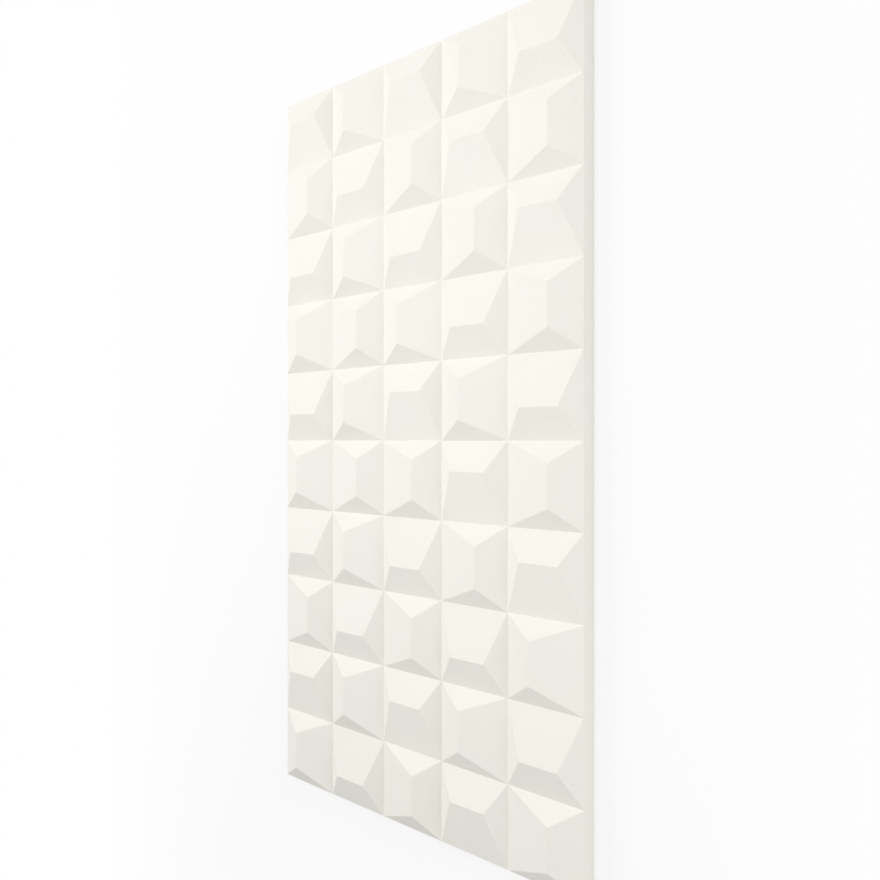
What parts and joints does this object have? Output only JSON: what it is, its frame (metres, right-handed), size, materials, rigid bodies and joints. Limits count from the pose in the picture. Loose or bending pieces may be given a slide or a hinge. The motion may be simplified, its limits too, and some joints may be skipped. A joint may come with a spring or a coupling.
{
  "type": "wall panel",
  "caption": "Rectangular moulded wall panel with a flat back, straight edges and a face of hipped square blocks turned to different sides.",
  "frame": {"origin": "centre of the back face, which lies on the floor", "axes": "+X across the panel to the right, +Y up the panel as it hangs, +Z out of its face"},
  "size_m": [0.5, 1, 0.038],
  "materials": {
    "white_primer": "matte white factory primer on moulded hard polyurethane"
  },
  "bodies": {
    "root": {"wall_panel": "white_primer"}
  },
  "joints": []
}
